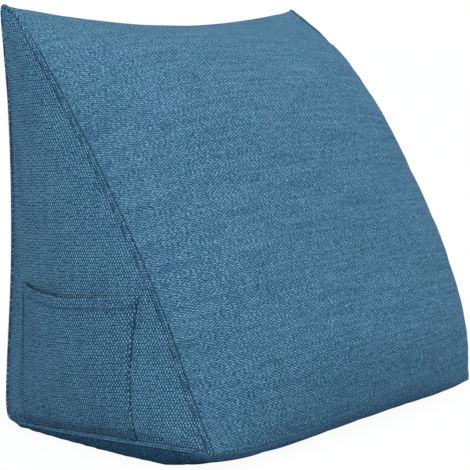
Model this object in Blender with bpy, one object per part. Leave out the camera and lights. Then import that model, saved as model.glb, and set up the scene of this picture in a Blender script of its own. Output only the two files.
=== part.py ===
# Wedge back pillow in blue linen-look cloth, with a patch pocket on its left side.
# Frame: +Z up, X across the width, the leaning slope faces -Y, the upright back faces +Y.
# The origin is on the floor under the middle of the pillow's box.

import bmesh
import bpy
import numpy as np
from mathutils import Vector
from mathutils.bvhtree import BVHTree

MM = 0.001

# Filled body
WIDTH = 450 * MM             # between the side seams before they are drawn in
SIDE_CROWN = 19 * MM         # how far a side panel stands proud at its middle
SIDE_FULLNESS = 0.38         # lower, and the crown starts more steeply at the seams
SEAM_PULL = 3                # how quickly the hold of a seam on its panel fades
SEAM_SAMPLES = 12            # points of the seam felt between two stations
STEPS_ACROSS = 41            # faces from one side seam to the other
SIDE_RINGS = 9               # rings of faces from a side seam to its panel's middle
BASE_SPREAD = 1.04           # the base is flat where its section would be this full

# Pressed and topstitched ridge along the side seams
RIDGE_HALF_WIDTH = 3.2 * MM
RIDGE_HEIGHT = 1.5 * MM
RIDGE_SHOULDER = 0.5 * MM    # how far the cloth beside the ridge is pulled in

# Patch pocket on the left side panel
POCKET_BACK = 95 * MM        # y of its edge beside the back seam
POCKET_FRONT = -59 * MM      # y of its edge beside the slope
MOUTH_BACK = 148 * MM        # height of the mouth's back end
MOUTH_FRONT = 153 * MM       # height of its front end
MOUTH_SAG = 4.5 * MM         # its middle hangs this far below the line of its ends
MOUTH_GAPE = 12 * MM         # clear space behind the middle of the mouth
GAPE_ACROSS = 0.55           # lower, and the pocket stands off sooner from its sewn sides
GAPE_UP = 0.95               # lower, and it stands off sooner from its sewn foot
POCKET_CLOTH = 2.0 * MM
HEM_CLOTH = 3.0 * MM         # the folded hem along the mouth
HEM_DEPTH = 9 * MM
SEWN_GAP = 0.4 * MM          # between the pocket's sewn edges and the side panel
SEWN_REACH = 4 * MM          # the gap is kept to the body's highest point this far around
BASE_CLEAR = 6.5 * MM        # from the base seam up to the pocket's lower edge
POCKET_COLUMNS = 22
POCKET_ROWS = 18

# One row for each place round the section, from the heel up the back, over the top,
# down the slope and along the base. In millimetres: the side seam's y and z and how far
# it is drawn in, the middle section's y and z. Then the fullness across the width, the
# number of steps to the next row, and whether the side seam turns a corner here.
SECTION = (
    # place            seam y  seam z  drawn   mid y  mid z  fullness  steps  corner
    ("heel",           133.0,    8.0,   5.5,  148.0,  15.0, "toe",    2, True),
    ("back low",       137.5,   46.0,   7.5,  157.5,  56.0, "panel",  5, False),
    ("back middle",    130.0,  175.0,  10.0,  160.5, 175.0, "panel",  5, False),
    ("back high",      128.5,  300.0,   8.5,  149.0, 290.0, "panel",  5, False),
    ("top back",       131.0,  412.0,   5.0,  119.0, 395.0, "top",    3, True),
    ("top front",      112.0,  403.0,   5.0,  101.0, 395.0, "top",    3, True),
    ("slope high",      61.0,  359.5,   0.0,   42.0, 387.0, "panel",  5, False),
    ("slope upper",     20.5,  296.0,   1.5,  -34.0, 336.5, "panel",  5, False),
    ("slope middle",   -34.0,  221.5,   0.0,  -92.5, 248.5, "panel",  5, False),
    ("slope lower",    -85.5,  133.0,   1.0, -135.5, 159.0, "panel",  5, False),
    ("slope foot",    -117.0,   61.0,   4.0, -162.0,  67.0, "panel",  4, False),
    ("toe",           -130.5,   19.5,   7.0, -154.0,  19.0, "toe",    4, True),
    ("base front",    -110.0,   20.5,   1.0, -111.0,   0.0, "base",   4, False),
    ("base middle",      8.0,   15.0,  -9.0,    8.0,   0.0, "base",   4, False),
    ("base back",      103.0,    7.0,  -2.0,  117.0,   0.0, "base",   3, False),
)

# Section across the width: (1 - |u| ** spread) ** rise, u from -1 to 1 between the side seams
FULLNESS = {
    "panel": (3.4, 0.68),
    "top": (2.0, 1.00),
    "toe": (3.0, 0.75),
    "base": (15.0, 0.26),
}

# Cloth colours as linear values
BODY_CLOTH = (0.086, 0.200, 0.296, 1.0)
POCKET_CLOTH_COLOUR = (0.068, 0.165, 0.250, 1.0)
CLOTH_ROUGHNESS = 0.92


def clear_scene():
    for obj in list(bpy.data.objects):
        bpy.data.objects.remove(obj, do_unlink=True)


def cloth_material(name, colour):
    material = bpy.data.materials.new(name)
    material.use_nodes = True
    shader = material.node_tree.nodes["Principled BSDF"]
    shader.inputs["Base Color"].default_value = colour
    shader.inputs["Roughness"].default_value = CLOTH_ROUGHNESS
    shader.inputs["Metallic"].default_value = 0.0
    return material


def smooth_run(points, steps, closed=False):
    """Points on a smooth curve through the given ones, steps[i] of them from point i on."""
    points = np.array(points)
    if closed:
        padded = np.vstack([points[-1:], points, points[:2]])
    else:
        padded = np.vstack([2 * points[0] - points[1], points, 2 * points[-1] - points[-2]])
    spans = np.linalg.norm(np.diff(padded, axis=0), axis=1)[:, None]
    rates = np.diff(padded, axis=0) / spans
    slopes = (rates[:-1] * spans[1:] + rates[1:] * spans[:-1]) / (spans[:-1] + spans[1:])
    run = []
    for i, count in enumerate(steps):
        start, end, span = padded[i + 1], padded[i + 2], spans[i + 1]
        for t in np.arange(count) / count:
            run.append((2 * t**3 - 3 * t**2 + 1) * start + (t**3 - 2 * t**2 + t) * span * slopes[i]
                       + (3 * t**2 - 2 * t**3) * end + (t**3 - t**2) * span * slopes[i + 1])
    return np.array(run)


def seam_outline():
    """The side seam round the section: y, z and draw-in at every station, in metres."""
    corners = [i for i, row in enumerate(SECTION) if row[8]]
    rows = SECTION + SECTION[:1]
    run = []
    for first, last in zip(corners, corners[1:] + [len(SECTION)]):
        stretch = rows[first:last + 1]
        points = [row[1:4] for row in stretch]
        run.append(smooth_run(points, [row[7] for row in stretch[:-1]]))
    return np.vstack(run) * MM


def middle_section():
    """The section at the middle of the width: y and z at every station, in metres."""
    run = smooth_run([row[4:6] for row in SECTION], [row[7] for row in SECTION], closed=True)
    run[:, 1] = np.maximum(run[:, 1], 0.0)
    return run * MM


def station_blend(values):
    """Spread one value for each table row evenly over the stations between the rows."""
    values = list(values) + [values[0]]
    run = []
    for i, row in enumerate(SECTION):
        for step in range(row[7]):
            run.append(values[i] + (values[i + 1] - values[i]) * step / row[7])
    return np.array(run)[:, None]


def body_grid():
    """Stations round the section by steps across the width, as an array of points."""
    seam = seam_outline()
    middle = middle_section()
    spread = station_blend([FULLNESS[row[6]][0] for row in SECTION])
    rise = station_blend([FULLNESS[row[6]][1] for row in SECTION])
    on_base = station_blend([1.0 if row[6] == "base" else 0.0 for row in SECTION])
    across = np.sin(np.linspace(-0.5, 0.5, STEPS_ACROSS + 1) * np.pi)[None]
    full = (1 - np.abs(across) ** spread) ** rise
    full = np.minimum(1.0, full * (1 + (BASE_SPREAD - 1) * on_base))
    section = seam[:, None, :2] + (middle - seam[:, :2])[:, None] * full[:, :, None]
    x = across * (WIDTH / 2 - seam[:, 2:3] * np.abs(across) ** 3)
    return np.dstack([x, section])


def side_corners():
    """Station numbers of the side panel's three far corners: top, toe and heel."""
    places = [row[0] for row in SECTION]
    starts = np.cumsum([0] + [row[7] for row in SECTION])
    return [starts[places.index(name)] for name in ("top back", "toe", "heel")]


def seam_hold(points, seam):
    """How strongly the seam round a panel holds each point, and the x it holds it at."""
    ends = np.roll(seam, -1, axis=0)
    shares = np.arange(SEAM_SAMPLES)[:, None, None] / SEAM_SAMPLES
    felt = (seam + (ends - seam) * shares).reshape(-1, 3)
    lengths = np.tile(np.linalg.norm(ends - seam, axis=1), SEAM_SAMPLES)
    apart = np.linalg.norm(points[:, None, 1:] - felt[None, :, 1:], axis=2)
    pull = lengths * apart ** -SEAM_PULL
    return pull.sum(axis=1), (pull * felt[:, 0]).sum(axis=1) / pull.sum(axis=1)


def side_rings(ring, outward):
    """Rings from a side seam to just round the panel's middle, and that middle point."""
    corners = [ring[i] for i in side_corners()]
    lengths = np.array([np.linalg.norm(corners[k - 2] - corners[k - 1]) for k in range(3)])
    middle = sum(corner * length for corner, length in zip(corners, lengths)) / lengths.sum()
    reach = ring[:, 1].max() - middle[1]
    inward = [RIDGE_HALF_WIDTH / reach]
    inward += list(1 - np.cos(np.linspace(0, 1, SIDE_RINGS + 1)[2:] * np.pi / 2))
    rings = [ring * (1 - share) + middle * share for share in inward]
    least = seam_hold(middle[None], ring)[0][0]
    for row in rings:
        hold, level = seam_hold(row, ring)
        row[:, 0] = level + outward * SIDE_CROWN * (least / hold) ** SIDE_FULLNESS
    return rings[:-1], rings[-1][0]


def join_rings(mesh, first, second):
    """Faces between two closed rings of vertices."""
    count = len(first)
    for i in range(count):
        j = (i + 1) % count
        mesh.faces.new((first[i], first[j], second[j], second[i]))


def raise_seams(mesh, seams, shoulders):
    """Lift the side seams into a ridge and pull in the cloth beside it."""
    mesh.normal_update()
    moves = [(vertex, vertex.normal * RIDGE_HEIGHT) for vertex in seams]
    moves += [(vertex, vertex.normal * -RIDGE_SHOULDER) for vertex in shoulders]
    for vertex, move in moves:
        vertex.co += move
        vertex.co.z = max(vertex.co.z, 0.0)


def new_object(name, mesh, material):
    bmesh.ops.recalc_face_normals(mesh, faces=mesh.faces)
    data = bpy.data.meshes.new(name)
    mesh.to_mesh(data)
    mesh.free()
    data.shade_smooth()
    data.materials.append(material)
    obj = bpy.data.objects.new(name, data)
    bpy.context.collection.objects.link(obj)
    return obj


def filled_body(material):
    grid = body_grid()
    mesh = bmesh.new()
    columns = [[mesh.verts.new(point) for point in grid[:, k]] for k in range(grid.shape[1])]
    for left, right in zip(columns, columns[1:]):
        join_rings(mesh, left, right)
    seams = []
    shoulders = list(columns[1]) + list(columns[-2])
    for column, outward in ((0, -1), (-1, 1)):
        rings, middle = side_rings(grid[:, column], outward)
        rows = [columns[column]] + [[mesh.verts.new(point) for point in ring] for ring in rings]
        for outer, inner in zip(rows, rows[1:]):
            join_rings(mesh, outer, inner)
        hub = mesh.verts.new(middle)
        last = rows[-1]
        for i, vertex in enumerate(last):
            mesh.faces.new((vertex, last[(i + 1) % len(last)], hub))
        seams += columns[column]
        shoulders += rows[1]
    bmesh.ops.recalc_face_normals(mesh, faces=mesh.faces)
    raise_seams(mesh, seams, shoulders)
    return new_object("wedge_cushion", mesh, material)


def side_surface(body):
    """A function that gives the x of the body's left side round a y and z."""
    tree = BVHTree.FromObject(body, bpy.context.evaluated_depsgraph_get())
    probes = ((0, 0), (SEWN_REACH, 0), (-SEWN_REACH, 0), (0, SEWN_REACH), (0, -SEWN_REACH))

    def left_side(y, z):
        hits = [tree.ray_cast(Vector((-WIDTH, y + dy, z + dz)), Vector((1, 0, 0)))[0] for dy, dz in probes]
        return min(hit.x for hit in hits)

    return left_side


def base_seam_height(y):
    """Height of the base seam at a y, from the outline's base rows."""
    rows = [row for row in SECTION if row[6] == "base"] + [SECTION[0]]
    return np.interp(y / MM, [row[1] for row in rows], [row[2] for row in rows]) * MM


def pocket_point(body_x, column, row):
    """Inner and outer points of the pocket cloth; column runs to the slope, row up to the mouth."""
    y = POCKET_BACK + (POCKET_FRONT - POCKET_BACK) * column
    mouth = MOUTH_BACK + (MOUTH_FRONT - MOUTH_BACK) * column - MOUTH_SAG * np.sin(np.pi * column)
    foot = base_seam_height(y) + BASE_CLEAR
    z = foot + (mouth - foot) * row
    belly = max(0.0, np.sin(np.pi * column)) ** GAPE_ACROSS * row ** GAPE_UP
    inner = body_x(y, z) - SEWN_GAP - MOUTH_GAPE * belly
    in_hem = mouth - z < HEM_DEPTH
    outer = inner - (HEM_CLOTH if in_hem else POCKET_CLOTH)
    return (inner, y, z), (outer, y, z)


def pocket(material, body):
    body_x = side_surface(body)
    columns = np.linspace(0, 1, POCKET_COLUMNS + 1)
    hem_share = HEM_DEPTH / (MOUTH_BACK - base_seam_height(0.0) - BASE_CLEAR)
    rows = list(np.linspace(0, 1 - hem_share, POCKET_ROWS - 1)) + [1 - hem_share * 0.9, 1.0]
    mesh = bmesh.new()
    inner, outer = [], []
    for row in rows:
        pairs = [pocket_point(body_x, column, row) for column in columns]
        inner.append([mesh.verts.new(pair[0]) for pair in pairs])
        outer.append([mesh.verts.new(pair[1]) for pair in pairs])
    for low, high in zip(range(len(rows)), range(1, len(rows))):
        for k in range(POCKET_COLUMNS):
            mesh.faces.new((inner[low][k], inner[low][k + 1], inner[high][k + 1], inner[high][k]))
            mesh.faces.new((outer[low][k], outer[high][k], outer[high][k + 1], outer[low][k + 1]))
    rim_inner = inner[0] + [row[-1] for row in inner[1:]] + inner[-1][-2::-1]
    rim_inner += [row[0] for row in inner[-2:0:-1]]
    rim_outer = outer[0] + [row[-1] for row in outer[1:]] + outer[-1][-2::-1]
    rim_outer += [row[0] for row in outer[-2:0:-1]]
    join_rings(mesh, rim_inner, rim_outer)
    return new_object("side_pocket", mesh, material)


def build():
    clear_scene()
    body = filled_body(cloth_material("body_cloth", BODY_CLOTH))
    pocket(cloth_material("pocket_cloth", POCKET_CLOTH_COLOUR), body)


build()
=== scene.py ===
import math
from collections import namedtuple
from functools import partialmethod

import bpy
import numpy as np
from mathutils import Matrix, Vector
from mathutils.bvhtree import BVHTree


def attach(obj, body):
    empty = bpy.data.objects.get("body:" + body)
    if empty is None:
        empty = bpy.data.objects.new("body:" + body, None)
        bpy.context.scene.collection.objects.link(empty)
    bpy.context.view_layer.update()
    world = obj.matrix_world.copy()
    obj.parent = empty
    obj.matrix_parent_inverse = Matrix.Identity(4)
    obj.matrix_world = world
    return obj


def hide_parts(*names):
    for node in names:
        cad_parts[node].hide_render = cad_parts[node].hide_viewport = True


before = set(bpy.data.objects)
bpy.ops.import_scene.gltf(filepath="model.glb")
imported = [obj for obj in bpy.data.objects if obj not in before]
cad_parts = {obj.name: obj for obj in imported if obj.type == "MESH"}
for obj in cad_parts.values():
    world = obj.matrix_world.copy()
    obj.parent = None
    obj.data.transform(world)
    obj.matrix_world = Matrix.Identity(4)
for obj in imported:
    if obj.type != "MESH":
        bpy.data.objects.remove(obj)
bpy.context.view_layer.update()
scene = bpy.context.scene
mm = 0.001
print("frame loaded: nodes", sorted(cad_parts))


# small helpers

def onlySelect(obj):
    bpy.ops.object.select_all(action="DESELECT")
    obj.select_set(True)
    bpy.context.view_layer.objects.active = obj


def unit(vectors):
    return vectors / np.maximum(np.linalg.norm(vectors, axis=-1, keepdims=True), 1e-9)


def applyModifiers(obj):
    onlySelect(obj)
    for modifier in list(obj.modifiers):
        bpy.ops.object.modifier_apply(modifier=modifier.name)


def smoothStep(t):
    t = np.clip(t, 0, 1)
    return t * t * (3 - 2 * t)


# a soft hump with a height and a half width
def bell(distance, height, half):
    return height * np.exp(-(distance / half) ** 2)


# each value of a closed ring averaged with its neighbours
def smoothed(ring, rounds=1, axis=0):
    for _ in range(rounds):
        ring = (np.roll(ring, 1, axis=axis) + 2 * ring + np.roll(ring, -1, axis=axis)) / 4
    return ring


def linked(name, data):
    obj = bpy.data.objects.new(name, data)
    scene.collection.objects.link(obj)
    return obj


def meshObject(name, points, faces, uv=None, marks=None):
    data = bpy.data.meshes.new(name)
    data.from_pydata([tuple(p) for p in points], [], faces)
    if uv is not None:
        layer = data.uv_layers.new(name="clothMap")
        layer.data.foreach_set("uv", np.asarray(uv, np.float32).ravel())
    for mark, values in (marks or {}).items():
        attribute = data.attributes.new(mark, "FLOAT", "POINT")
        attribute.data.foreach_set("value", np.asarray(values, np.float32))
    data.polygons.foreach_set("use_smooth", [True] * len(data.polygons))
    return linked(name, data)


def readBack(items, key):
    flat = np.zeros(len(items) * 3)
    items.foreach_get(key, flat)
    return flat.reshape(-1, 3)


def placesOf(obj):
    return readBack(obj.data.vertices, "co")


def normalsOf(obj):
    return readBack(obj.data.vertex_normals, "vector")


# the cut of the pillow, in mm

pattern = {
    "width": 450.0,
    "sideCrown": 19.0,  # how far the middle of a side panel stands out
    "sideFullness": 0.38,  # lower, and the crown starts more steeply at the seams
    "baseSpread": 1.06,  # the base is flat where its section would be this full
    # the right seam against the left, in y and z
    "rightShifts": {"toe": (5.0, -14.0), "top front": (4.5, -0.8), "slope top": (0.2, 0.9),
                    "slope high": (-1.3, 1.1)},
    # rounds of smoothing at the softer corners, and how far along the seam it reaches
    "softCorners": {"heel": 80, "top back": 10},
    "softDetail": 6,  # the detail that these rounds are meant for
    "softReach": 1.6,
    "samples": 401,
    # how the crown swells across the width: its spread, and its power at the seams
    "fullness": {"panel": (3.4, 0.68), "top": (2.0, 1.00), "neck": (2.8, 0.79), "shoulder": (3.2, 0.62),
                 "toe": (3.4, 0.70), "corner": (9.0, 0.40), "base": (34.0, 0.26)},
    # from the heel up the back, over the top, down the slope and along the base
    "columns": "place seamY seamZ drawnIn middleY middleZ fullness steps corner",
    "rows": (
        ("heel", 137.0, 2.0, 3.0, 148.0, 15.0, "toe", 2, True),
        ("back low", 139.0, 36.0, 7.0, 157.5, 56.0, "panel", 5, False),
        ("back middle", 130.0, 170.0, 10.0, 160.5, 175.0, "panel", 5, False),
        ("back high", 128.0, 300.0, 8.5, 149.0, 290.0, "panel", 5, False),
        ("top back", 132.2, 416.0, 3.2, 119.0, 395.0, "top", 3, True),
        ("top front", 106.5, 405.0, 2.5, 101.0, 394.5, "top", 2, True),
        ("slope top", 87.0, 384.0, -2.0, 74.0, 395.0, "neck", 2, False),
        ("slope high", 65.0, 360.0, -4.0, 42.0, 387.0, "shoulder", 5, False),
        ("slope upper", 21.0, 296.0, 0.5, -34.0, 336.5, "panel", 5, False),
        ("slope middle", -32.2, 221.5, -1.2, -92.5, 248.5, "panel", 5, False),
        ("slope lower", -84.8, 133.0, 0.0, -135.5, 159.0, "panel", 5, False),
        ("slope foot", -115.0, 61.0, 4.0, -163.0, 67.0, "panel", 4, False),
        ("toe", -133.2, 18.5, 8.5, -155.0, 18.0, "toe", 4, True),
        ("base front", -110.0, 20.5, 1.5, -112.0, 0.0, "corner", 2, False),
        ("base forward", -78.0, 20.3, -5.2, -80.0, 0.0, "base", 3, False),
        ("base middle", 8.0, 15.0, -9.0, 8.0, 0.0, "base", 4, False),
        ("base back", 103.0, 6.5, -2.5, 117.0, 0.0, "base", 3, False),
    ),
}
Row = namedtuple("Row", pattern["columns"])
rows = [Row(*row) for row in pattern["rows"]]


# the station of a named place
def stationAt(place, detail):
    before = [row.place for row in rows].index(place)
    return sum(row.steps for row in rows[:before]) * detail


# a smooth curve through points, with its own number of steps in each stretch
def smoothRun(points, steps, closed=False):
    points = np.array(points)
    if closed:
        padded = np.vstack([points[-1:], points, points[:2]])
    else:
        padded = np.vstack([2 * points[0] - points[1], points, 2 * points[-1] - points[-2]])
    spans = np.linalg.norm(np.diff(padded, axis=0), axis=1)[:, None]
    rates = np.diff(padded, axis=0) / spans
    slopes = (rates[:-1] * spans[1:] + rates[1:] * spans[:-1]) / (spans[:-1] + spans[1:])
    run = []
    for i, count in enumerate(steps):
        start, end, span = padded[i + 1], padded[i + 2], spans[i + 1]
        for t in np.arange(count) / count:
            run.append((2 * t**3 - 3 * t**2 + 1) * start + (t**3 - 2 * t**2 + t) * span * slopes[i]
                       + (3 * t**2 - 2 * t**3) * end + (t**3 - t**2) * span * slopes[i + 1])
    return np.array(run)


def seamOutline(detail):
    corners = [i for i, row in enumerate(rows) if row.corner]
    looped = rows + rows[:1]
    run = []
    for first, last in zip(corners, corners[1:] + [len(rows)]):
        stretch = looped[first:last + 1]
        places = [(row.seamY, row.seamZ, row.drawnIn) for row in stretch]
        run.append(smoothRun(places, [row.steps * detail for row in stretch[:-1]]))
    return np.vstack(run) * mm


def middleSection(detail):
    places = [(row.middleY, row.middleZ) for row in rows]
    run = smoothRun(places, [row.steps * detail for row in rows], closed=True)
    run[:, 1] = np.maximum(run[:, 1], 0.0)
    return run * mm


# a value for each row, blended between the rows
def rowBlend(values, detail):
    run = []
    for row, value, after in zip(rows, values, list(values[1:]) + [values[0]]):
        count = row.steps * detail
        run += [value + (after - value) * step / count for step in range(count)]
    return np.array(run)[:, None]


def closeTo(name, detail):
    return rowBlend([1.0 if row.place == name else 0.0 for row in rows], detail)


# points across the width at each station round the section
def panelCurves(detail, cornerRounds):
    seam = smoothed(seamOutline(detail), cornerRounds)
    for name, rounds in pattern["softCorners"].items():
        near = smoothStep(pattern["softReach"] * closeTo(name, detail))
        for _ in range(round(rounds * (detail / pattern["softDetail"]) ** 2)):
            seam = seam + near * (np.roll(seam, 1, axis=0) - 2 * seam + np.roll(seam, -1, axis=0)) / 4
    middle = middleSection(detail)
    spread, rise = (rowBlend([pattern["fullness"][row.fullness][k] for row in rows], detail)
                    for k in (0, 1))
    onBase = rowBlend([1.0 if row.fullness == "base" else 0.0 for row in rows], detail)
    uneven = sum(smoothStep(closeTo(name, detail)) * np.array(shift) * mm
                 for name, shift in pattern["rightShifts"].items())
    across = np.sin(np.linspace(-0.5, 0.5, pattern["samples"]) * np.pi)[None]
    full = (1 - np.abs(across) ** spread) ** rise
    full = np.minimum(1.0, full * (1 + (pattern["baseSpread"] - 1) * onBase))
    edge = seam[:, None, :2] + uneven[:, None] * (across > 0)[..., None]
    section = edge + (middle[:, None] - edge) * full[:, :, None]
    x = across * (pattern["width"] * mm / 2 - seam[:, 2:3] * np.abs(across) ** 3)
    return np.dstack([x, section])


def arcLengths(curve):
    return np.concatenate([[0], np.cumsum(np.linalg.norm(np.diff(curve, axis=0), axis=1))])


def atDistances(curve, distances):
    run = arcLengths(curve)
    return np.stack([np.interp(distances, run, curve[:, k]) for k in range(3)], axis=1)


# the middle of a side panel: its three corners, each weighed by the side opposite
def panelMiddle(ring, detail):
    corners = [ring[stationAt(name, detail)] for name in ("top back", "toe", "heel")]
    lengths = np.array([np.linalg.norm(corners[k - 2] - corners[k - 1]) for k in range(3)])
    return sum(corner * length for corner, length in zip(corners, lengths)) / lengths.sum()


# how strongly a side's seam holds each point, and at which x
def seamHold(points, ring):
    parts = 6  # places felt along each stretch of the seam
    closest = 0.3 * mm  # nearer than this the hold grows no further
    ends = np.roll(ring, -1, axis=0)
    shares = np.arange(parts)[:, None, None] / parts
    felt = (ring + (ends - ring) * shares).reshape(-1, 3)
    lengths = np.tile(np.linalg.norm(ends - ring, axis=1), parts)
    apart = np.linalg.norm(points[:, None, 1:] - felt[None, :, 1:], axis=2)
    pull = lengths * np.maximum(apart, closest) ** -3
    return pull.sum(axis=1), (pull * felt[:, 0]).sum(axis=1) / pull.sum(axis=1)


# a side panel as rings, each at a share of the way from the seam to its middle
def sideRings(ring, shares, detail, outward):
    middle = panelMiddle(ring, detail)
    least = seamHold(middle[None], ring)[0][0]
    made = []
    for share in shares:
        points = ring + (middle - ring) * np.asarray(share).reshape(-1, 1)
        hold, level = seamHold(points, ring)
        points[:, 0] = level + outward * pattern["sideCrown"] * mm * (least / hold) ** pattern["sideFullness"]
        made.append(points)
    return made


# faces from a panel grid (stations by columns) and the rings of each side
def coverFaces(stations, columns, ringCount):
    faces = []
    for s in range(stations):
        t = (s + 1) % stations
        for k in range(columns - 1):
            faces.append((s * columns + k, t * columns + k, t * columns + k + 1, s * columns + k + 1))
    kinds = [0] * len(faces)
    first = stations * columns
    for side, edge in ((0, 0), (1, columns - 1)):
        outer = [s * columns + edge for s in range(stations)]
        loops = []
        for r in range(ringCount):
            inner = [first + r * stations + s for s in range(stations)]
            loops += zip(outer[1:] + outer[:1], outer, inner, inner[1:] + inner[:1])
            outer = inner
        hub = first + ringCount * stations
        loops += [(after, here, hub) for after, here in zip(outer[1:] + outer[:1], outer)]
        faces += [loop if side == 0 else loop[::-1] for loop in loops]
        kinds += [1 + side] * len(loops)
        first = hub + 1
    return faces, kinds


# the filling: a coarse cover, pinned at its seams and puffed up, in mm

filling = {
    "detail": 3,  # stations for each step of the pattern
    "columns": 58,
    "cornerRounds": 1,
    "rings": (0.04, 0.10, 0.17, 0.25, 0.34, 0.44, 0.55, 0.66, 0.77, 0.88),
    "inset": 2.2,  # the panels start this far inside the pattern
    "frames": 20,
    "broad": 8,  # rounds of smoothing that leave the broad shape
    "keep": 0.4,
    "cap": 0.8,  # no point moves further than this from the pattern
    "floorReach": 0.2,  # what lies lower than this is held on the floor
    # settings of the simulated cloth, which is cut slightly larger than the pattern
    "cloth": {"quality": 6, "mass": 0.15, "tension_stiffness": 12, "compression_stiffness": 12,
              "bending_stiffness": 0.4, "shrink_min": -0.012, "use_pressure": True,
              "uniform_pressure_force": 4.0},
}


# how far the pressure moves the coarse cover: its panel and both sides
def puffed():
    detail, columns = filling["detail"], filling["columns"]
    curves = panelCurves(detail, filling["cornerRounds"])
    share = np.linspace(0, 1, columns)
    grid = np.array([atDistances(curve, share * arcLengths(curve)[-1]) for curve in curves])
    stations = len(grid)
    points = [grid.reshape(-1, 3)]
    for edge, outward in ((0, -1), (-1, 1)):
        rings = sideRings(grid[:, edge], filling["rings"] + (1.0,), detail, outward)
        points += rings[:-1] + [rings[-1][:1]]
    points = np.vstack(points)
    faces, _ = coverFaces(stations, columns, len(filling["rings"]))
    cover = meshObject("filling", points, faces)
    cover.data.update()
    seams = [s * columns + k for s in range(stations) for k in (0, columns - 1)]
    onFloor = [i for i, p in enumerate(points) if p[2] < filling["floorReach"] * mm]
    start = points - normalsOf(cover) * filling["inset"] * mm
    start[seams + onFloor] = points[seams + onFloor]
    cover.data.vertices.foreach_set("co", start.ravel())
    held = cover.vertex_groups.new(name="held")
    held.add(seams + onFloor, 1.0, "REPLACE")
    cloth = cover.modifiers.new("Cloth", "CLOTH")
    for key, setting in filling["cloth"].items():
        setattr(cloth.settings, key, setting)
    cloth.settings.vertex_group_mass = "held"
    cloth.settings.effector_weights.gravity = 0
    cloth.point_cache.frame_end = filling["frames"]
    for step in range(1, filling["frames"] + 1):
        scene.frame_set(step)
    applyModifiers(cover)
    moved = placesOf(cover) - points
    spread = np.percentile(np.linalg.norm(moved, axis=1), (50, 90, 99)) / mm
    print("filling: moved", np.round(spread, 1), "mm")
    bpy.data.objects.remove(cover, do_unlink=True)
    scene.frame_set(1)
    panel = moved[:stations * columns].reshape(stations, columns, 3)
    sides = []
    ringCount = len(filling["rings"])
    for side, edge in ((0, 0), (1, -1)):
        first = stations * columns + side * (ringCount * stations + 1)
        rings = moved[first:first + ringCount * stations].reshape(ringCount, stations, 3)
        hub = np.repeat(moved[first + ringCount * stations][None, None], stations, axis=1)
        across = np.concatenate([panel[None, :, edge], rings, hub]).transpose(1, 0, 2)
        sides.append(fineOnly(across).transpose(1, 0, 2))
    return fineOnly(panel), sides


# the pattern already has the broad shape, so only the gathers of the puffed cloth are kept
def fineOnly(table):
    def blurred(values, rounds):
        for _ in range(rounds):
            values = smoothed(values)
            wide = np.concatenate([values[:, :1], values, values[:, -1:]], axis=1)
            values = (wide[:, :-2] + 2 * wide[:, 1:-1] + wide[:, 2:]) / 4
        return values
    fine = (blurred(table, 1) - blurred(table, filling["broad"])) * filling["keep"]
    size = np.maximum(np.linalg.norm(fine, axis=-1, keepdims=True), 1e-9) / (filling["cap"] * mm)
    return fine * np.tanh(size) / size


# values read between the samples of a table
def between(table, places, closed=False):
    base = np.floor(places).astype(int)
    t = (places - base).reshape((-1,) + (1,) * (table.ndim - 1))
    last = len(table) - 1
    pick = [(base + k) % len(table) if closed else np.clip(base + k, 0, last) for k in (-1, 0, 1, 2)]
    a, b, c, d = (table[i] for i in pick)
    return b + 0.5 * t * (c - a + t * (2 * a - 5 * b + 4 * c - d + t * (3 * (b - c) + d - a)))


# the cover: fine stations, with rows close together at the seams for the welt, in mm

cover = {
    "detail": 6,
    "cornerRounds": 6,
    "columns": 100,
    "rings": 24,
    "seamRows": (0.3, 0.6, 0.9, 1.2, 1.5, 1.8, 2.1, 2.4, 2.7, 3.1, 3.7, 4.7, 6.5),
    "reachRounds": 10,  # smoothing of the way to a side's middle
    "weltHalf": 1.7,  # half the width of the raised welt
    "weltEdge": 0.8,
    "weltHeight": 1.2,
    "ridgeRounds": 4,  # smoothing of the direction in which it stands up
    "ridgeBlend": (1.0, 3.0),  # where that turns to the cloth's own, and how soon
    "seamDip": (0.6, 0.4),  # depth and half width of the seam between the two folds of the welt
    "creaseAt": 2.3,  # from the seam to the stitched crease beside the welt
    "creaseDip": (0.8, 0.45),
    "pucker": 0.45,  # depth of the small gathers beside the seams
    "puckerReach": 22.0,
    "puckerStart": (2.0, 5.0),  # where they start, and how soon they are full
    "gatherWaves": (14, 34),
    "gatherCount": 9,
    "seed": 11,
    "sway": 0.8,  # slow unevenness of the filling
    "swayReach": 45,
    "flatBelow": 1.0,
    "mapStretch": (1.05, 1.08),  # of the panel's cloth, up it and across it
    "mapSlant": 0.09,
}
mapStep = 4.0  # the cloth map's u starts this much further for each side

# painted shade and painted highlight in the cover's colour: how strongly, and its half width in mm
shades = {
    "crease": (1.0, 0.65, 0.6),  # on the panel, on a side, and the half width of both
    "seam": (0.5, 0.35),
    "low": (0.58, 5.0),  # along the foot of a side panel
    "lowAt": 9.0,
    "back": (0.50, 11.0),  # along its back edge
    "strip": (0.14, 19.0),  # between the back edge and the pocket
    "stripTop": (160, 20),  # the height where that ends, and how softly
    # painted highlight on the welt's two folds
    "fold": (0.45, 0.6),  # the two folds of the welt are lighter
    "foldAt": 1.0,
    "baseFold": 0.5,
    # painted shade under the base: how far from the side seams it reaches, and how softly
    "under": (120, 60),  # the base is deeper up to here, and how softly
    "backRun": 20.0,  # stations over which these shades come and go
    "heelRun": 10.0,
    "baseRun": (0.0, 14.0),  # stations before the base front, and run
    "underRun": (16.0, 20.0),
}


# how high the cloth stands beside a seam
def weltProfile(distance):
    flat = smoothStep((cover["weltHalf"] + cover["weltEdge"] / 2 - np.abs(distance)) / cover["weltEdge"])
    crease = bell(np.abs(distance) - cover["creaseAt"], *cover["creaseDip"])
    return cover["weltHeight"] * flat - crease - bell(distance, *cover["seamDip"])


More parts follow.
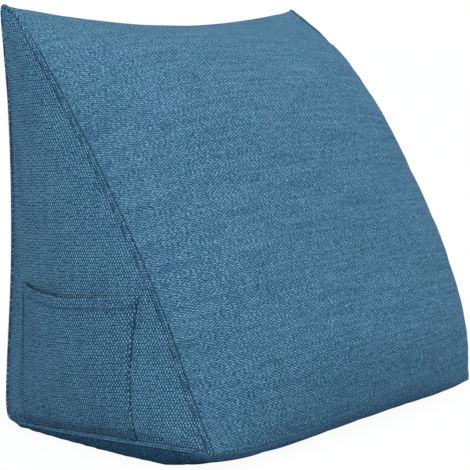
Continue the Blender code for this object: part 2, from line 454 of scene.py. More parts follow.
# small waves along a seam, which meet where it closes
def gathers(arc, length, seed):
    made = np.zeros(len(arc))
    draw = np.random.default_rng(seed)
    for wave in draw.uniform(*cover["gatherWaves"], cover["gatherCount"]):
        turns = max(1, round(length / (wave * mm)))
        made += np.sin(2 * np.pi * (turns * arc / length + draw.uniform()))
    return made / math.sqrt(cover["gatherCount"])


# how far along a line across the panel each column lies
def columnPlaces(total, near):
    inner = np.linspace(near[-1], total - near[-1], cover["columns"] + 1)[1:-1]
    return np.concatenate([near, inner, total - near[::-1]])


# the share of the way to a side's middle at which each ring lies
def ringPlaces(ring, near, detail):
    toMiddle = (panelMiddle(ring, detail) - ring)[:, 1:]
    along = (np.roll(ring, -1, axis=0) - np.roll(ring, 1, axis=0))[:, 1:]
    across = np.abs(toMiddle[:, 0] * along[:, 1] - toMiddle[:, 1] * along[:, 0])
    reach = smoothed(across / np.linalg.norm(along, axis=1), cover["reachRounds"])
    shares = [distance / reach for distance in near[1:]]
    start = shares[-1]
    steps = 1 - np.cos(np.linspace(0, 1, cover["rings"] + 1)[1:] * np.pi / 2)
    return shares + [start + (1 - start) * step for step in steps]


# of each point: its distance from the side seam, negative on a side, its station and its half
def seamPlaces(distances, totals, rings, near):
    stations, columns = distances.shape
    away = [np.minimum(distances, totals[:, None] - distances).ravel()]
    stationOf = [np.repeat(np.arange(stations), columns)]
    sideOf = [np.tile(np.arange(columns) >= columns / 2, stations).astype(int)]
    for side, made in enumerate(rings):
        lastNear = made[len(near) - 2]
        gaps = [np.full(stations, distance) for distance in near[1:]]
        gaps += [np.linalg.norm((ring - lastNear)[:, 1:], axis=1) + near[-1]
                 for ring in made[len(near) - 1:-1]]
        away += [-gap for gap in gaps] + [np.array([-0.1])]  # the middle of the side is far off
        stationOf += [np.arange(stations)] * len(gaps) + [np.array([0])]
        sideOf.append(np.full(len(gaps) * stations + 1, side))
    return np.concatenate(away), np.concatenate(stationOf), np.concatenate(sideOf)


# the points lifted by the welt, the gathers beside it and the sway
def sewn(points, normals, grid, away, stationOf, sideOf):
    stations, columns = grid.shape[:2]
    # the welt lifts along the ridge between the panels, not along each panel
    panelUp = normals[:stations * columns].reshape(stations, columns, 3)
    ridge = smoothed(np.stack([panelUp[:, 0], panelUp[:, -1]]), cover["ridgeRounds"], axis=1)
    fromSeam = np.abs(away) / mm
    start, run = cover["ridgeBlend"]
    blend = smoothStep((fromSeam - start) / run)[:, None]
    lift = unit(normals * blend + ridge[sideOf, stationOf] * (1 - blend))
    arcs = [arcLengths(np.vstack([grid[:, edge], grid[:1, edge]])) for edge in (0, -1)]
    puckers = np.stack([gathers(arc[:-1], arc[-1], cover["seed"] + side) for side, arc in enumerate(arcs)])
    start, run = cover["puckerStart"]
    fade = np.exp(-fromSeam / cover["puckerReach"]) * smoothStep((fromSeam - start) / run)
    height = weltProfile(away / mm) + cover["pucker"] * puckers[sideOf, stationOf] * fade
    x, y, z = points.T
    sway = cover["sway"] * np.sin(x * 21 + z * 17 + 1) * np.sin(y * 15 - z * 23)
    height += sway * smoothStep(fromSeam / cover["swayReach"])
    height[z < cover["flatBelow"] * mm] = 0
    points = points + lift * height[:, None] * mm
    points[:, 2] = np.maximum(points[:, 2], 0.0)
    return points


# 1 along the base and 0 elsewhere round the section
def baseShare(stationOf, stations, early, run):
    first = stationAt("base front", cover["detail"])
    beforeHeel = smoothStep((stations - stationOf) / shades["heelRun"])
    return smoothStep((stationOf - first + early) / run) * beforeHeel


# the shade where a side panel turns in towards the base seam
def lowShade(height):
    return bell(height - shades["lowAt"], *shades["low"])


# the painted shade and painted highlight that the cloth's material reads
def coverMarks(points, away, stationOf, stations):
    fromSeam = away / mm
    onSide, onBase = away < 0, baseShare(stationOf, stations, *shades["baseRun"])
    onBack = smoothStep((stationAt("top back", cover["detail"]) - stationOf) / shades["backRun"])
    onPanel, besideIt, half = shades["crease"]
    top, soft = shades["stripTop"]
    besidePocket = onBack * smoothStep((top - points[:, 2] / mm) / soft)
    depth, reach = shades["strip"]
    # painted shade in the creases beside the welt, in the seam, along a side's foot and back edge and beside
    # the pocket
    creases = [bell(np.abs(fromSeam) - cover["creaseAt"], np.where(away > 0, onPanel, besideIt), half),
               bell(fromSeam, *shades["seam"]),
               onSide * onBase * lowShade(-fromSeam),
               onSide * onBack * bell(fromSeam, *shades["back"]),
               onSide * besidePocket * depth * np.exp(-(fromSeam / reach) ** 4)]
    # painted shade on the base, darkest just below the side seams
    reach, soft = shades["under"]
    under = smoothStep(fromSeam - cover["puckerStart"][0]) * smoothStep((reach - fromSeam) / soft)
    under *= baseShare(stationOf, stations, *shades["underRun"])
    # painted highlight on the welt's two folds, stronger along the base
    depth, half = shades["fold"]
    fold = bell(np.abs(fromSeam) - shades["foldAt"], depth + shades["baseFold"] * onBase, half)
    return {"crease": np.max(creases, axis=0), "under": under, "fold": fold}


def buildCover():
    detail = cover["detail"]
    curves = panelCurves(detail, cover["cornerRounds"])
    stations = len(curves)
    near = np.array((0.0,) + cover["seamRows"]) * mm
    totals = np.array([arcLengths(curve)[-1] for curve in curves])
    distances = np.array([columnPlaces(total, near) for total in totals])
    columns = distances.shape[1]
    grid = np.array([atDistances(curve, row) for curve, row in zip(curves, distances)])
    rings, ringShares = [], []
    for edge, outward in ((0, -1), (-1, 1)):
        shares = ringPlaces(grid[:, edge], near, detail)
        made = sideRings(grid[:, edge], shares, detail, outward)
        rings.append(made[:-1] + [made[-1][:1]])
        ringShares.append(np.array([np.zeros(stations)] + shares))
    ringCount = len(rings[0]) - 1
    settle(grid, rings, ringShares, distances, totals)
    points = np.vstack([grid.reshape(-1, 3)] + rings[0] + rings[1])
    faces, kinds = coverFaces(stations, columns, ringCount)
    draft = meshObject("coverDraft", points, faces)
    draft.data.update()
    normals = normalsOf(draft)
    bpy.data.objects.remove(draft, do_unlink=True)

    away, stationOf, sideOf = seamPlaces(distances, totals, rings, near)
    uv = clothMap(points, grid, distances, totals, faces, kinds)
    points = sewn(points, normals, grid, away, stationOf, sideOf)
    made = meshObject("wedge_cover", points, faces, uv, coverMarks(points, away, stationOf, stations))
    print("cover:", len(points), "points,", len(faces), "faces")
    made.data.update()
    ups = normalsOf(made)
    first = stations * columns
    shape = {"panel": points[:first].reshape(stations, columns, 3),
             "panelUp": ups[:first].reshape(stations, columns, 3), "side": [], "sideUp": []}
    for side in (0, 1):
        start = first + side * (ringCount * stations + 1)
        for key, source in (("side", points), ("sideUp", ups)):
            shape[key].append(source[start:start + ringCount * stations].reshape(ringCount, stations, 3))
    return made, shape


# carries the movement of the puffed filling over to the fine cover
def settle(grid, rings, ringShares, distances, totals):
    panelMove, sideMoves = puffed()
    scale = filling["detail"] / cover["detail"]
    stations = len(grid)
    atStation = np.arange(stations) * scale
    finer = between(panelMove, atStation, closed=True)
    for s in range(stations):
        place = distances[s] / totals[s] * (filling["columns"] - 1)
        grid[s] += between(finer[s], place)
    knots = np.array((0.0,) + filling["rings"] + (1.0,))
    for side in (0, 1):
        sideFine = np.stack([between(row, atStation, closed=True) for row in sideMoves[side]])
        for r, ring in enumerate(rings[side]):
            share = ringShares[side][r + 1]
            place = np.interp(share, knots, np.arange(len(knots)))
            for s in range(len(ring)):
                ring[s] += between(sideFine[:, s], place[s:s + 1])[0]


# the cloth map in metres: light yarns run across the panel and up the sides
def clothMap(points, grid, distances, totals, faces, kinds):
    stations, columns = distances.shape
    steps = np.linalg.norm(np.roll(grid, -1, axis=0) - grid, axis=2).mean(axis=1)
    up = np.concatenate([[0], np.cumsum(steps)])
    across = distances - totals[:, None] / 2
    stretchUp, stretchAcross = cover["mapStretch"]
    sideMap = np.stack([points[:, 1], points[:, 2] + cover["mapSlant"] * points[:, 1]], axis=1)
    uv = []
    for face, kind in zip(faces, kinds):
        if kind:
            uv += [(mapStep * kind + sideMap[i][0], sideMap[i][1]) for i in face]
            continue
        numbers = [i // columns for i in face]
        wraps = 0 in numbers and stations - 1 in numbers
        for i, s in zip(face, numbers):
            turned = up[stations if wraps and s == 0 else s]
            uv.append((turned * stretchUp, across[s, i % columns] * stretchAcross))
    return uv


coverPiece, coverShape = buildCover()
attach(coverPiece, "root")
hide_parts("wedge_cushion")


# the pocket: one sheet, hemmed at its mouth and sewn to the side panel, in mm

pocket = {
    "back": 95.0,  # its two sides, along Y
    "front": -59.0,
    "mouthBack": 148.0,  # height of the mouth at its two ends
    "mouthFront": 153.0,
    "mouthSag": 4.5,
    "gape": 11.6,  # how far it stands open at the middle of its mouth
    "gapeAcross": 0.55,  # lower, and it opens more evenly across
    "gapeUp": 0.95,  # lower, and it opens sooner from its foot
    "footAt": 3.4,  # from the base seam up to the pocket's foot
    "cloth": 1.1,
    "edgeRise": (0.3, 1.2, 1.4),  # off the panel at its edges, more inside, and over which way
    "hem": 8.0,  # from the mouth down to the hem's stitches
    "hemRise": (0.9, 1.6),  # how much thicker the hem is, and over which way
    "turned": 10.0,
    "sewn": 2.4,  # from a side edge to its stitches
    # dips, each with its depth and half width: at the stitches, and the slack below the hem
    "sewnDip": (0.35, 0.6),
    "hemDip": (0.45, 0.6),
    "slackDip": (0.7, 4.5),
    "hemDipAt": 0.4,
    "slackAt": 5.0,
    "wave": (0.35, 31, 0.05),  # a slow wave: its depth, and its turns across and up
    "bow": 4.0,
    "fold": 1.15,  # half the way from the outer cloth to the turned-in cloth
    "foldFlat": 0.8,
    "clear": 0.2,  # the turned-in cloth stays this far off the panel
    "columns": 120,
    "edgeColumns": (0.0, 0.4, 0.8, 1.2, 1.6, 2.0, 2.4, 2.8, 3.3, 4.0),
    "rows": 110,
    "footRows": (4, 5),  # height and number of the closer rows at the foot
    "mouthRows": (16, 32),  # and the same below the mouth
    "turnRows": 6,
    "insideRows": 7,
    # painted shade, where its colour is deeper, each with its depth and half width
    "sewnShade": (0.25, 0.5),
    "hemShades": ((0.3, 0.7, 0.45), (3.0, 0.3, 0.4)),  # the first is how far below the stitches
    "backShade": (0.95, 2.0),
    "frontShade": (0.7, 0.7),
}


# where the side panel lies, seen from the left
def sideX(tree, y, z):
    hit = tree.ray_cast(Vector((-0.6, y, z)), Vector((1, 0, 0)))[0]
    return hit.x if hit else tree.find_nearest(Vector((-0.25, y, z)))[0].x


# how far the pocket stands off the side panel, at the share c of the way across it
def pocketStand(c, side, foot, mouth):
    middle = math.sin(math.pi * c)
    belowHem = mouth - pocket["hem"]
    belly = pocket["gape"] * middle ** pocket["gapeAcross"]
    belly *= max(0.0, foot / (foot + mouth)) ** pocket["gapeUp"]
    least, more, run = pocket["edgeRise"]
    rise = least + more * float(smoothStep(min(side, foot) / run))
    dips = bell(side - pocket["sewn"], *pocket["sewnDip"])
    dips += bell(belowHem - pocket["hemDipAt"], *pocket["hemDip"])
    dips += bell(belowHem - pocket["slackAt"], *pocket["slackDip"]) * middle ** 0.5
    thicker, run = pocket["hemRise"]
    hem = thicker * float(smoothStep(-belowHem / run + 0.5))
    depth, turnsAcross, turnsUp = pocket["wave"]
    return belly + rise + hem - dips + depth * math.sin(turnsAcross * c + turnsUp * foot) * middle


# a line of the pocket's cloth, up from its foot, over the fold and down inside
def pocketLine(tree, c, width, footOf):
    y = pocket["back"] - width * c
    side = min(c, 1 - c) * width
    footZ = footOf(y)
    mouthZ = pocket["mouthBack"] + (pocket["mouthFront"] - pocket["mouthBack"]) * c
    tall = mouthZ - pocket["mouthSag"] * math.sin(math.pi * c) - footZ
    half, fold = pocket["cloth"] / 2, pocket["fold"] * mm
    (low, lowRows), (high, highRows) = pocket["footRows"], pocket["mouthRows"]
    heights = np.concatenate([np.linspace(0, low, lowRows + 1),
                              np.linspace(low, tall - high, pocket["rows"])[1:],
                              np.linspace(tall - high, tall, highRows + 1)[1:]])
    line = []
    for h in heights:
        bowed = (y + pocket["bow"] * c * c * math.sin(math.pi * h / tall)) * mm
        x = sideX(tree, bowed, (footZ + h) * mm)
        line.append((x - (pocketStand(c, side, h, tall - h) - half) * mm, bowed, (footZ + h) * mm))
    mouthX, _, mouthTop = line[-1]
    for turn in np.linspace(0, math.pi, pocket["turnRows"] + 1)[1:]:
        rise = fold * pocket["foldFlat"] * math.sin(turn)
        line.append((mouthX + fold * (1 - math.cos(turn)), y * mm, mouthTop + rise))
    for h in np.linspace(0, pocket["turned"], pocket["insideRows"] + 1)[1:]:
        panelX = sideX(tree, y * mm, mouthTop - h * mm)
        x = panelX - (pocketStand(c, side, tall - h, h) - half) * mm + 2 * fold
        line.append((min(x, panelX - pocket["clear"] * mm), y * mm, mouthTop - h * mm))
    return line


# the painted shade in the pocket's creases, below its hem, at its edges and along its foot
def pocketCreases(shares, lengths, width):
    side = np.minimum(shares, 1 - shares)[:, None] * width
    belowMouth = (lengths[:, -1:] - lengths) / mm - pocket["turned"] - 3.0
    crease = bell(side - pocket["sewn"], *pocket["sewnShade"])
    for below, depth, half in pocket["hemShades"]:
        crease = crease + bell(belowMouth - pocket["hem"] - below, depth, half)
    atBack = shares[:, None] < 0.5
    crease = crease + np.where(atBack, bell(side, *pocket["backShade"]), bell(side, *pocket["frontShade"]))
    return np.minimum(1.0, crease + lowShade(lengths / mm + pocket["footAt"]))


def buildPocket():
    tree = BVHTree.FromObject(coverPiece, bpy.context.evaluated_depsgraph_get())
    base = coverShape["panel"][stationAt("toe", cover["detail"]):, 0]
    order = np.argsort(base[:, 1])
    width = pocket["back"] - pocket["front"]
    shares = np.linspace(0, 1, pocket["columns"])
    near = np.array(pocket["edgeColumns"]) / width
    start = near[-1] + 0.003
    inner = shares[(shares > start) & (shares < 1 - start)]
    shares = np.concatenate([near, inner, 1 - near[::-1]])

    def footOf(y):
        return np.interp(y * mm, base[order, 1], base[order, 2]) / mm + pocket["footAt"]

    lines = np.array([pocketLine(tree, c, width, footOf) for c in shares])
    columns, count = lines.shape[:2]
    faces = [(c * count + r, (c + 1) * count + r, (c + 1) * count + r + 1, c * count + r + 1)
             for c in range(columns - 1) for r in range(count - 1)]
    lengths = np.stack([arcLengths(line) for line in lines])
    points = lines.reshape(-1, 3)
    foot = lines[:, 0, 2]
    height = (foot[:, None] + lengths).ravel() + cover["mapSlant"] * points[:, 1]
    uv = [(2 * mapStep + points[i][1], height[i]) for face in faces for i in face]
    none = np.zeros(len(points))
    creases = pocketCreases(shares, lengths, width).ravel()
    marks = {"crease": creases, "under": none, "fold": none}
    made = meshObject("side_pocket_cloth", points, faces, uv, marks)
    solid = made.modifiers.new("Solidify", "SOLIDIFY")
    solid.thickness = pocket["cloth"] * mm
    solid.offset = 0
    solid.use_even_offset = False
    applyModifiers(made)
    print("pocket:", len(made.data.polygons), "faces")
    return made, lines, shares


pocketPiece, pocketLines, pocketShares = buildPocket()
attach(pocketPiece, "root")
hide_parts("side_pocket")


# the topstitching: short bars of thread, in mm

stitching = {
    "length": 2.9,
    "pitch": 3.9,
    "thick": 0.5,
    "flat": 0.9,  # its height against its width
    "sides": 8,
    "turns": 5,
    "proud": 0.1,  # how far the thread's middle lies above the cloth
    "lowest": 1.5,
    "seamRow": 8,  # the cover's row that they follow
    "sideEnds": (6, 3),  # rows left free at the pocket's foot and mouth
    "hemEnds": 4,  # columns left free at the ends of its hem
    "light": (0.080, 0.215, 0.330, 1.0),
    "dark": (0.020, 0.080, 0.145, 1.0),
    "twist": (2, 6),  # turns of light and dark round a stitch and along it
    "shader": {"Roughness": 0.9, "Specular IOR Level": 0.04},
}


# even stitches along a line: their middles, directions and outward directions
def stitchRun(line, outward, closed=False):
    if closed:
        line, outward = np.vstack([line, line[:1]]), np.vstack([outward, outward[:1]])
    run = arcLengths(line)
    count = int(run[-1] / (stitching["pitch"] * mm))
    at = (np.arange(count) + 0.5) * run[-1] / count
    half = stitching["length"] * mm / 2
    along = unit(atDistances(line, at + half) - atDistances(line, at - half))
    up = np.stack([np.interp(at, run, outward[:, k]) for k in range(3)], axis=1)
    up = unit(up - along * (up * along).sum(axis=1, keepdims=True))
    middle = atDistances(line, at) + up * stitching["proud"] * mm
    return np.stack([middle, along, up], axis=1)[middle[:, 2] > stitching["lowest"] * mm]


# copies of one stitch at all places of the runs, as one mesh
def sewStitches(name, runs):
    sides, turns, thick = stitching["sides"], stitching["turns"], stitching["thick"]
    bpy.ops.mesh.primitive_uv_sphere_add(segments=sides, ring_count=turns, radius=0.5)
    model = bpy.context.object
    shape = placesOf(model) * (thick * mm, thick * stitching["flat"] * mm, stitching["length"] * mm)
    loops = [tuple(face.vertices) for face in model.data.polygons]
    corners = [tuple(corner.uv) for corner in model.data.uv_layers[0].data]
    bpy.data.objects.remove(model, do_unlink=True)
    places = np.vstack(runs)
    points, faces = [], []
    for number, (middle, along, up) in enumerate(places):
        across = np.cross(up, along)
        points.append(middle + shape[:, :1] * across + shape[:, 1:2] * up + shape[:, 2:] * along)
        faces += [tuple(i + number * len(shape) for i in loop) for loop in loops]
    made = meshObject(name, np.vstack(points), faces, corners * len(places))
    print(name + ":", len(places), "stitches,", len(faces), "faces")
    return made


def seamRuns():
    row = stitching["seamRow"]
    panel, panelUp = coverShape["panel"], coverShape["panelUp"]
    runs = [stitchRun(panel[:, k], panelUp[:, k], closed=True) for k in (row, -1 - row)]
    for side, sideUp in zip(coverShape["side"], coverShape["sideUp"]):
        runs.append(stitchRun(side[row - 1], sideUp[row - 1], closed=True))
    return runs


# down both sides of the pocket, then along its hem
def pocketRuns():
    front = pocketLines[:, :-pocket["turnRows"] - pocket["insideRows"]]
    outward = unit(np.cross(np.gradient(front, axis=0), np.gradient(front, axis=1)) / mm ** 2)
    outward *= -np.sign(outward[..., :1])
    face = front + outward * pocket["cloth"] * mm / 2
    column = pocket["edgeColumns"].index(pocket["sewn"])
    foot, mouth = stitching["sideEnds"]
    runs = [stitchRun(face[k, foot:-mouth], outward[k, foot:-mouth]) for k in (column, -1 - column)]
    hemLine, hemUp = [], []
    ends = stitching["hemEnds"]
    for line, up in zip(face[ends:-ends], outward[ends:-ends]):
        fromMouth = arcLengths(line)[-1] - arcLengths(line)
        row = np.abs(fromMouth - pocket["hem"] * mm).argmin()
        hemLine.append(line[row])
        hemUp.append(up[row])
    runs.append(stitchRun(np.array(hemLine), np.array(hemUp)))
    return runs


seamStitches = sewStitches("seam_stitches", seamRuns())
pocketStitches = sewStitches("pocket_stitches", pocketRuns())
for piece, slot in ((seamStitches, "body_cloth"), (pocketStitches, "pocket_cloth")):
    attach(piece, "root")


# shader sockets as Python values

class Value:
    def __init__(self, tree, socket):
        self.tree = tree
        self.socket = socket

    def make(self, kind, settings=None, outlet=0, **inputs):
        node = self.tree.nodes.new(kind)
        for key, setting in (settings or {}).items():
            setattr(node, key, setting)
        for key, source in inputs.items():
            inlet = node.inputs[int(key[1:]) if key[0] == "i" and key[1:].isdigit() else key]
            if isinstance(source, Value):
                self.tree.links.new(source.socket, inlet)
            else:
                inlet.default_value = source
        return Value(self.tree, node.outputs[outlet])

    def maths(self, operation, *others):
        inputs = {"i" + str(k): value for k, value in enumerate((self,) + others)}
        return self.make("ShaderNodeMath", {"operation": operation}, **inputs)

    __add__ = __radd__ = partialmethod(maths, "ADD")
    __mul__ = __rmul__ = partialmethod(maths, "MULTIPLY")
    __sub__ = partialmethod(maths, "SUBTRACT")
    __abs__ = partialmethod(maths, "ABSOLUTE")
    __pow__ = partialmethod(maths, "POWER")

    def __rsub__(self, other):
        return (self * -1.0) + other

    def clamped(self):
        return self.maths("MAXIMUM", 0.0).maths("MINIMUM", 1.0)

    # the first colour where this value is 0, the second where it is 1
    def mix(self, first, second):
        return self.make("ShaderNodeMix", {"data_type": "RGBA"}, outlet=2, i0=self, i6=first, i7=second)

    # this colour multiplied by another, as far as the share says
    def tinted(self, colour, share=1.0):
        settings = {"data_type": "RGBA", "blend_type": "MULTIPLY"}
        return self.make("ShaderNodeMix", settings, outlet=2, i0=share, i6=self, i7=colour)


# a new material with its shader, and the cloth map's u and v
def mappedMaterial(name, settings):
    material = bpy.data.materials.new(name)
    material.use_nodes = True
    tree = material.node_tree
    source = tree.nodes.new("ShaderNodeUVMap")
    source.uv_map = "clothMap"
    split = tree.nodes.new("ShaderNodeSeparateXYZ")
    tree.links.new(source.outputs[0], split.inputs[0])
    shader = tree.nodes["Principled BSDF"]
    for key, setting in settings.items():
        shader.inputs[key].default_value = setting
    return material, shader, Value(tree, split.outputs[0]), Value(tree, split.outputs[1])


# the woven cloth

weave = {
    "lightPitch": 1.34,  # mm between the fine light yarns
    "darkPitch": 2.67,  # and between the thick dark ones
    "lightYarn": ((0.072, 0.176, 0.258, 1.0), (0.220, 0.406, 0.530, 1.0)),  # darkest and lightest
    "darkYarn": ((0.014, 0.078, 0.143, 1.0), (0.043, 0.156, 0.248, 1.0)),
    "gap": (0.006, 0.038, 0.081, 1.0),
    # these pairs are for the panel, and for what the sides and the pocket add to it
    "uneven": (1.7, -0.6),  # how far the yarns wander from a square lattice
    "float": (0.62, -0.08),  # how much of the light yarns shows
    "lattice": (0.70, 0.15),  # how clearly they pass over and under
    "blotches": (0.13, 0.21),
    # painted light: the yarns of the sides and the pocket are drawn lighter, standing in for part of the
    # light on them
    "sideContrast": 0.24,
    "gapLevel": (0.20, 0.18),
    "gapEdge": (2.2, 0.9),
    "rowGap": 0.25,  # and between the rows on the sides
    "looseness": 1.4,  # how unevenly the light yarns float
    "roundness": 0.6,  # lower, and a yarn is flatter across
    "slubs": 2.6,
    "middleTone": (0.50, 0.45),  # of the light and of the dark yarns
    "streaks": 1.1,  # slubs along the light yarns
    # how fine each unevenness is, in cells for each metre of cloth
    "wanderCells": 140,
    "shiftCells": 60,
    "floatCells": 260,
    "slubCells": 130,
    "blotchCells": 34,
    "streakCells": (330, 10),
    "cloudCells": 26,
    "clouds": 1.8,  # slow change between the two tints
    "tints": ((0.92, 1.02, 0.98), (1.00, 0.97, 1.04)),
    # painted highlight on the welt's folds
    "foldTint": (1.5, 1.4, 1.35, 1.0),
    # painted shade in the creases and at the edges: its colour and how far it is mixed in
    "creaseTint": (0.16, 0.25, 0.36, 1.0),
    "creaseShare": 0.85,
    # painted shade on the base
    "baseTint": (0.30, 0.38, 0.46, 1.0),
    # the shade behind the pocket's back edge, in mm: how far behind, half width, softness, height
    "behindPocket": (5.5, 1.3, 4.0, 160),
    "depth": 0.45,  # mm of relief in the weave
    "relief": 0.8,
    "shader": {"Roughness": 0.9, "Specular IOR Level": 0.08, "Sheen Weight": 0.02,
               "Sheen Roughness": 0.5, "Sheen Tint": (0.6, 0.8, 1.0, 1.0)},
}


def clothMaterial(name, tint=1.0, behindPocket=0.0):
    material, shader, u, v = mappedMaterial(name, weave["shader"])
    tree = material.node_tree

    # noise about 0
    def noise(along, across, seed, detail=2.0):
        spot = u.make("ShaderNodeCombineXYZ", i0=along, i1=across, i2=seed)
        return u.make("ShaderNodeTexNoise", Vector=spot, Scale=1.0, Detail=detail) - 0.5

    onSide = u.maths("GREATER_THAN", mapStep / 2)

    def bySide(key):
        panel, more = weave[key]
        return onSide * more + panel

    # the yarns: the light ones are numbered along u, the dark ones along v
    uneven, wander = bySide("uneven"), weave["wanderCells"]
    x = u * (1 / (weave["lightPitch"] * mm)) + noise(u * wander, v * wander, 3.0) * uneven
    y = v * (1 / (weave["darkPitch"] * mm)) + noise(u * wander, v * wander, 7.0) * uneven
    lightWave = (x * math.pi).maths("SINE")
    lightNumber = x.maths("FLOOR")
    y = y + noise(lightNumber * 0.83, v * weave["shiftCells"], 9.0, 1.0) * uneven
    darkWave = (y * math.pi).maths("SINE")
    darkNumber = y.maths("FLOOR")
    loose = noise(lightNumber * 1.91, v * weave["floatCells"], 2.0) * weave["looseness"]
    over = lightWave.maths("SIGN") * darkWave
    lightUp = (bySide("float") + bySide("lattice") * over + loose).clamped()
    lightUp = abs(lightWave) ** weave["roundness"] * lightUp
    lightUp = lightUp * (1 - onSide * weave["rowGap"] * (1 - abs(darkWave)) ** 2)
    darkUp = abs(darkWave) ** weave["roundness"] * (0.5 - 0.5 * darkWave.maths("SIGN") * lightWave)
    top = lightUp.maths("MAXIMUM", darkUp)
    lightShows = ((lightUp - darkUp) * 5.0 + 0.5).clamped()

    # their colours
    slubCells, blotchCells, cloudCells = weave["slubCells"], weave["blotchCells"], weave["cloudCells"]
    fine, long = weave["streakCells"]
    blotch = noise(u * blotchCells, v * blotchCells, 17.0) * bySide("blotches")
    streak = noise(u * fine, v * long, 13.0) * weave["streaks"] + blotch * 2.0
    # painted light: the sides' and the pocket's yarns drawn lighter
    streak = streak + onSide * weave["sideContrast"]
    lightSlub = noise(lightNumber * 1.37, v * slubCells, 1.0) * weave["slubs"]
    darkSlub = noise(u * slubCells, darkNumber * 1.37, 5.0) * weave["slubs"]
    lightTone = (lightSlub + weave["middleTone"][0] + streak).clamped()
    darkTone = (darkSlub + weave["middleTone"][1] + streak).clamped()
    yarn = lightShows.mix(darkTone.mix(*weave["darkYarn"]), lightTone.mix(*weave["lightYarn"]))
    yarn = ((top - bySide("gapLevel")) * bySide("gapEdge")).clamped().mix(weave["gap"], yarn)
    cloud = (noise(u * cloudCells, v * cloudCells, 11.0, 3.0) * weave["clouds"] + 0.5).clamped()
    # painted shade: the pocket's copy of the cloth has its colour scaled down
    tints = [tuple(c * tint for c in toward) + (1.0,) for toward in weave["tints"]]
    colour = cloud.mix(*(yarn.tinted(toward) for toward in tints))

    def mark(attribute):
        return u.make("ShaderNodeAttribute", {"attribute_name": attribute}, outlet="Fac")

    crease = mark("crease")
    # painted shade: a dark line on the side panel just behind the pocket's back edge
    if behindPocket:
        behind, half, soft, high = weave["behindPocket"]
        fromLine = abs(u - mapStep - (pocket["back"] + behind) * mm)
        line = (half - fromLine * (1000 / soft)).clamped()
        tall = ((high * mm - v) * 120).clamped() * ((v - 0.03) * 9 + 0.2).clamped()
        crease = crease.maths("MAXIMUM", line * tall * behindPocket)
    # painted highlight on the welt's folds
    colour = colour.tinted(weave["foldTint"], mark("fold"))
    # painted shade in the creases, at the edges and behind the pocket
    colour = colour.tinted(weave["creaseTint"], crease * weave["creaseShare"])
    # painted shade under the base
    colour = colour.tinted(weave["baseTint"], mark("under"))
    tree.links.new(colour.socket, shader.inputs["Base Color"])
    bump = top.make("ShaderNodeBump", Strength=weave["relief"], Distance=weave["depth"] * mm, Height=top)
    tree.links.new(bump.socket, shader.inputs["Normal"])
    return material


def threadMaterial(name):
    material, shader, u, v = mappedMaterial(name, stitching["shader"])
    around, along = stitching["twist"]
    twist = ((u * around + v * along) * (2 * math.pi)).maths("SINE") * 0.5 + 0.5
    colour = twist.mix(stitching["dark"], stitching["light"])
    material.node_tree.links.new(colour.socket, shader.inputs["Base Color"])
    return material


thread = threadMaterial("sewingThread")
seamStitches.data.materials.append(thread)
pocketStitches.data.materials.append(thread)
coverPiece.data.materials.append(clothMaterial("linenLook", 1.0, 0.8))
# painted shade: the pocket's copy is drawn darker
pocketPiece.data.materials.append(clothMaterial("linenLookPocket", 0.93))
print("cloth material made")


# studio: floor, light and camera

studio = {
    "floorSize": 40.0,
    "floor": (0.93, 0.93, 0.93, 1.0),
    "floorRoughness": 0.9,
    "floorBounce": (0.36, 0.40, 0.46, 1.0),  # what it throws back on the pillow
    "floorWhite": 0.95,  # how far the white hides the floor's shadow
    "camera": (-1.1379, -0.9501, 0.3873),
    "yaw": 49.374,
    "down": 7.983,
    "lens": 110.5,
    "sensor": 36,
    "world": 0.38,  # strength of the light from all round
    "worldTint": (0.84, 1.0, 1.18, 1.0),
    "backdrop": 1.0,  # brightness of the white behind the pillow
    "skylight": 2.45,  # an even soft light from above
    "skyAngle": 70,
    "skyFrom": (0.22, -0.38, 1.0),
    # place, target, size and power
    "lamps": {"frontLight": ((-1.6, -2.2, 1.6), (0, 0, 0.2), 1.6, 12),
              "sideLight": ((-3.0, 0.2, 0.7), (-0.25, 0, 0.2), 1.6, 33)},
}

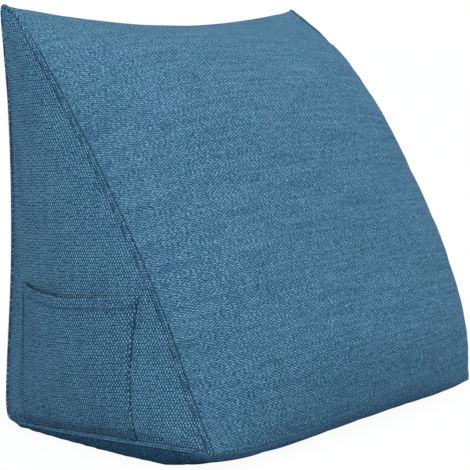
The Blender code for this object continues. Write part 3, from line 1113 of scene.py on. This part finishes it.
bpy.ops.mesh.primitive_plane_add(size=studio["floorSize"])
floor = bpy.context.object
floor.name = "floor"
floorLook = bpy.data.materials.new("paleFloor")
floorLook.use_nodes = True
floorNodes = floorLook.node_tree.nodes
floorShader = floorNodes["Principled BSDF"]
floorShader.inputs["Base Color"].default_value = studio["floor"]
floorShader.inputs["Roughness"].default_value = studio["floorRoughness"]
shown = Value(floorLook.node_tree, floorShader.outputs[0])
white = shown.make("ShaderNodeEmission", Color=(1.0, 1.0, 1.0, 1.0))
bounce = shown.make("ShaderNodeBsdfDiffuse", Color=studio["floorBounce"])
shown = shown.make("ShaderNodeMixShader", Fac=studio["floorWhite"], i1=shown, i2=white)
rays = shown.make("ShaderNodeLightPath")
floorSurface = shown.make("ShaderNodeMixShader", Fac=rays, i1=bounce, i2=shown)
floorLook.node_tree.links.new(floorSurface.socket, floorNodes["Material Output"].inputs["Surface"])
floor.data.materials.append(floorLook)

world = bpy.data.worlds.new("studioWorld")
world.use_nodes = True
worldNodes = world.node_tree.nodes
roomLight = worldNodes["Background"]
roomLight.inputs["Color"].default_value = studio["worldTint"]
roomLight.inputs["Strength"].default_value = studio["world"]
around = Value(world.node_tree, roomLight.outputs[0])
backdrop = around.make("ShaderNodeBackground", Color=(1, 1, 1, 1), Strength=studio["backdrop"])
seen = around.make("ShaderNodeLightPath")
either = around.make("ShaderNodeMixShader", Fac=seen, i1=around, i2=backdrop)
world.node_tree.links.new(either.socket, worldNodes["World Output"].inputs["Surface"])
scene.world = world


def softLight(name, place, target, size, power):
    data = bpy.data.lights.new(name, "AREA")
    data.size = size
    data.energy = power
    lamp = linked(name, data)
    lamp.location = place
    lamp.rotation_euler = (Vector(target) - Vector(place)).to_track_quat("-Z", "Y").to_euler()


for name, settings in studio["lamps"].items():
    softLight(name, *settings)

sunData = bpy.data.lights.new("skylight", "SUN")
sunData.energy = studio["skylight"]
sunData.angle = math.radians(studio["skyAngle"])
sun = linked("skylight", sunData)
sun.rotation_euler = Vector(studio["skyFrom"]).to_track_quat("Z", "Y").to_euler()

cameraData = bpy.data.cameras.new("camera")
cameraData.lens = studio["lens"]
cameraData.sensor_width = studio["sensor"]
camera = linked("camera", cameraData)
camera.location = studio["camera"]
camera.rotation_euler = (math.radians(90 - studio["down"]), 0, math.radians(-studio["yaw"]))
scene.camera = camera
scene.view_settings.view_transform = "Standard"
print("studio ready")
